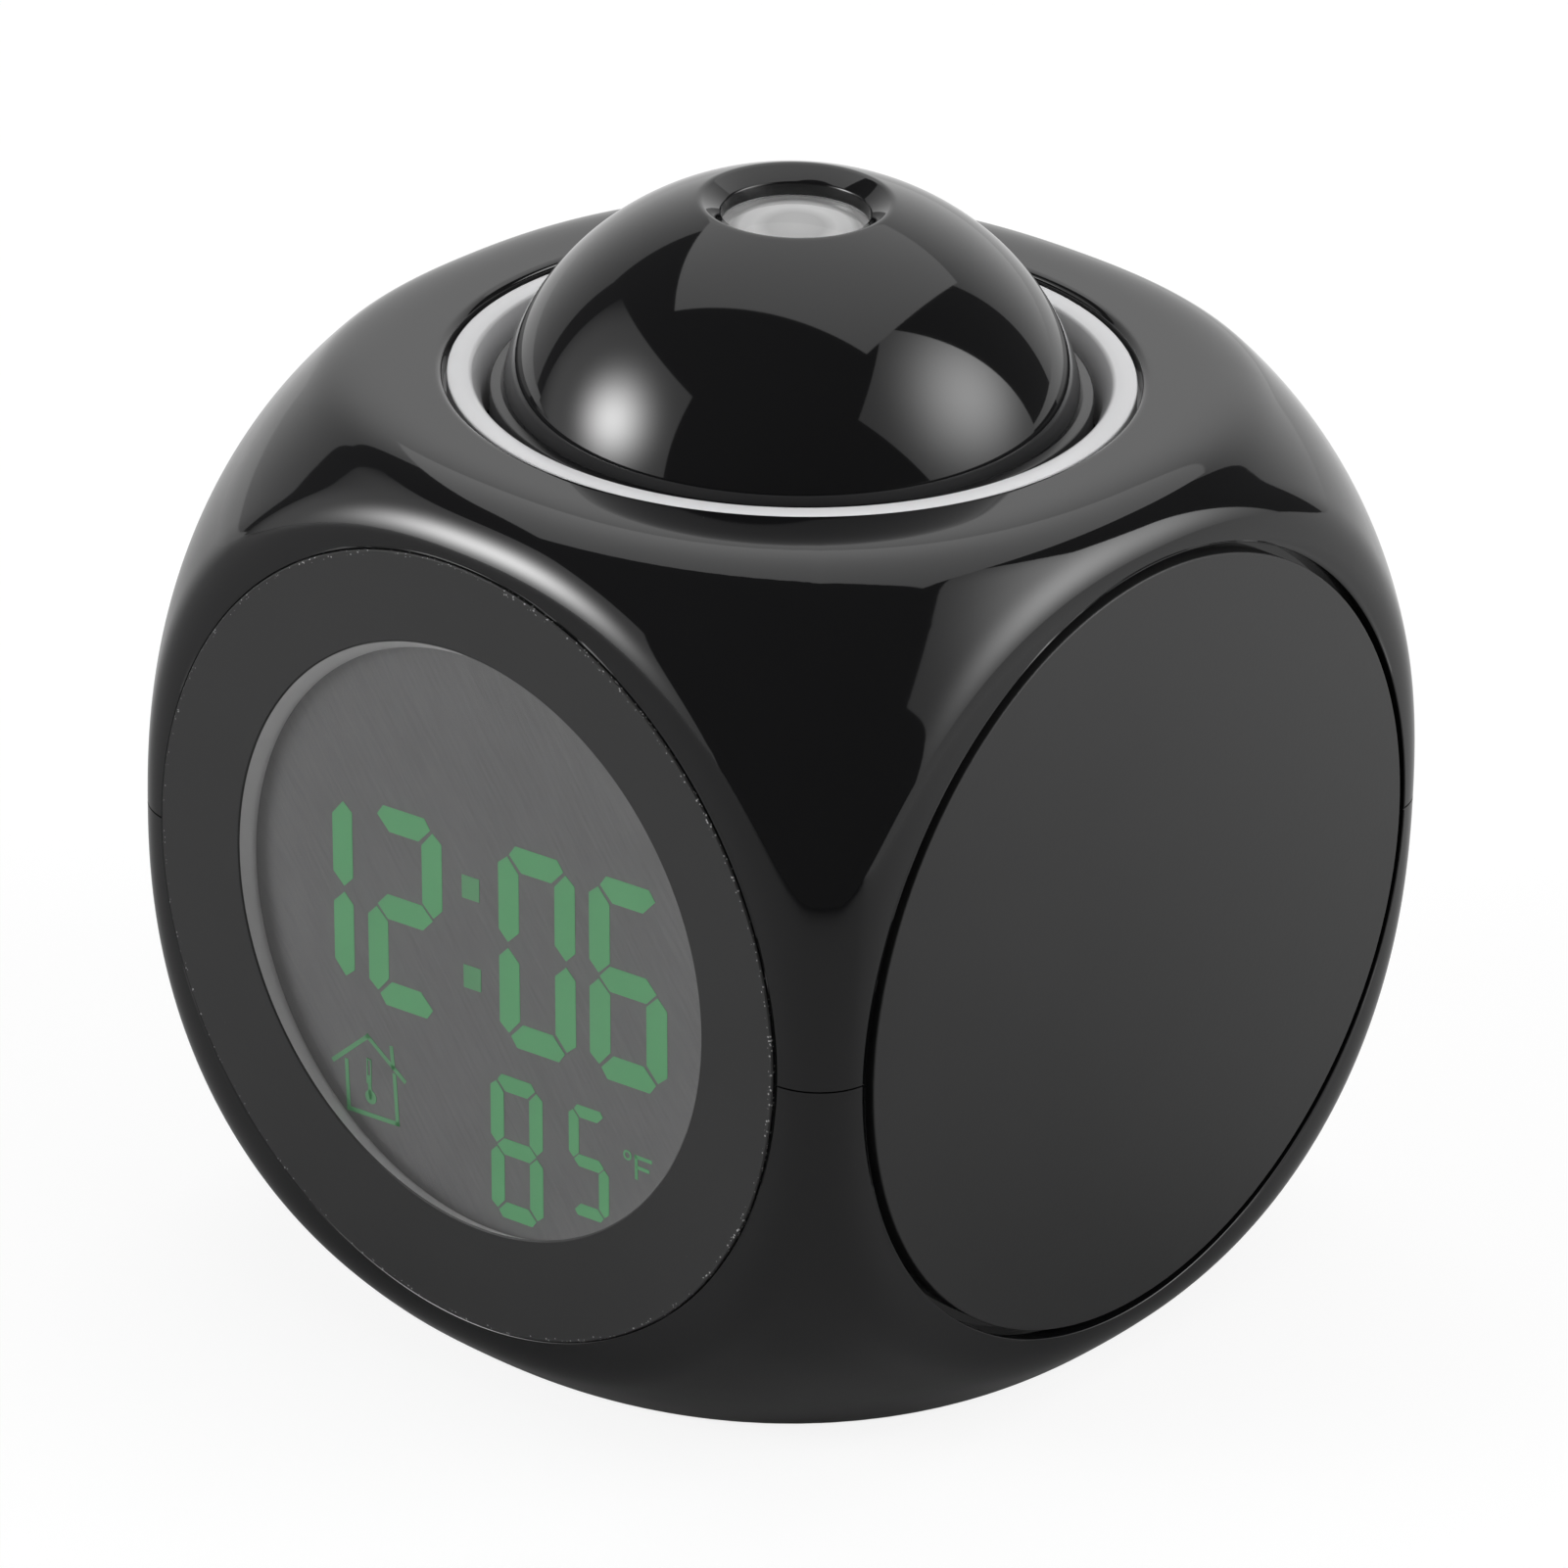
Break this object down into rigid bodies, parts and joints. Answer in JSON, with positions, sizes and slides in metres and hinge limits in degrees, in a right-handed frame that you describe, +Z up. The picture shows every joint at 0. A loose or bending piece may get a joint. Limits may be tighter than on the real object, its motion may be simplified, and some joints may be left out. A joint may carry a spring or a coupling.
{
  "type": "projection alarm clock",
  "caption": "Rounded-cube desk alarm clock with a round display in front and a domed, press-down ceiling projector on top.",
  "frame": {"origin": "centre of the base, on the surface that the clock stands on", "axes": "+Z up through the projector's eye, -Y towards the display, +X towards the right side plate"},
  "size_m": [0.09, 0.09, 0.1067],
  "materials": {
    "gloss_black": "polished",
    "bezel_black": "fine satin",
    "satin_black": "satin",
    "window_clear": "clear acrylic",
    "display_grey": "polariser",
    "diffuser_white": "frosted",
    "inner_black": "moulded",
    "strip_rubber": "silicone",
    "board_green": "solder mask",
    "switch_steel": "plated",
    "key_black": "polished",
    "speaker_steel": "plated",
    "cone_paper": "pressed paper",
    "cell_wrap": "printed wrap, bare of print",
    "contact_nickel": "nickel plated",
    "ring_white": "polished",
    "lens_clear": "clear acrylic",
    "retainer_grey": "turned",
    "screw_zinc": "zinc plated",
    "cable_grey": "insulated",
    "sensor_epoxy": "epoxy bead"
  },
  "bodies": {
    "housing": {"backlight": "diffuser_white", "battery_cell_1": "cell_wrap", "battery_cell_2": "cell_wrap", "battery_cell_3": "cell_wrap", "battery_contacts": "contact_nickel", "battery_springs": "contact_nickel", "case_screws": "screw_zinc", "contact_strip": "strip_rubber", "deck_cable": "cable_grey", "deck_screws": "screw_zinc", "display_screws": "screw_zinc", "display_window": "window_clear", "dome_springs": "contact_nickel", "dome_switch": "switch_steel", "dome_switch_board": "board_green", "front_bezel": "bezel_black", "key_switches": "switch_steel", "lcd_frame": "inner_black", "lcd_panel": "display_grey", "lower_shell": "gloss_black", "main_board": "board_green", "rear_board": "board_green", "rear_board_screws": "screw_zinc", "rear_panel": "satin_black", "ribbon_cable": "cable_grey", "side_plate_left": "satin_black", "side_plate_right": "satin_black", "slide_switch": "switch_steel", "speaker_cone": "cone_paper", "speaker_frame": "speaker_steel", "temperature_sensor": "sensor_epoxy", "top_deck": "inner_black", "trim_ring": "ring_white", "upper_shell": "gloss_black"},
    "dome_key": {"dome_carrier": "gloss_black", "dome_cap": "gloss_black", "lens_barrel": "inner_black", "projection_lens": "lens_clear", "lens_retainer": "retainer_grey", "projection_glass": "display_grey", "condenser_lens": "lens_clear", "projector_led": "lens_clear", "projector_board": "board_green", "projector_screws": "screw_zinc"},
    "slide_knob": {"slide_knob": "key_black"},
    "battery_door": {"battery_door": "gloss_black"},
    "rear_key_1": {"rear_key_1": "key_black"},
    "rear_key_2": {"rear_key_2": "key_black"},
    "rear_key_3": {"rear_key_3": "key_black"},
    "rear_key_4": {"rear_key_4": "key_black"}
  },
  "joints": [
    {"name": "dome_press", "type": "slide", "parent": "housing", "child": "dome_key", "axis": [0, 0, -1], "range_m": [0, 0.002], "stiffness_N_per_m": 700, "springref_m": -0.0015, "deforming": ["dome_springs"]},
    {"name": "rear_key_1_press", "type": "slide", "parent": "housing", "child": "rear_key_1", "axis": [0, -1, 0], "range_m": [0, 0.0007], "stiffness_N_per_m": 1200, "springref_m": -0.0004},
    {"name": "rear_key_2_press", "type": "slide", "parent": "housing", "child": "rear_key_2", "axis": [0, -1, 0], "range_m": [0, 0.0007], "stiffness_N_per_m": 1200, "springref_m": -0.0004},
    {"name": "rear_key_3_press", "type": "slide", "parent": "housing", "child": "rear_key_3", "axis": [0, -1, 0], "range_m": [0, 0.0007], "stiffness_N_per_m": 1200, "springref_m": -0.0004},
    {"name": "rear_key_4_press", "type": "slide", "parent": "housing", "child": "rear_key_4", "axis": [0, -1, 0], "range_m": [0, 0.0007], "stiffness_N_per_m": 1200, "springref_m": -0.0004},
    {"name": "projection_switch_slide", "type": "slide", "parent": "housing", "child": "slide_knob", "axis": [-1, 0, 0], "range_m": [0, 0.004]},
    {"name": "battery_door_lift", "type": "slide", "parent": "housing", "child": "battery_door", "axis": [0, 0, -1], "range_m": [0, 0.015]}
  ]
}
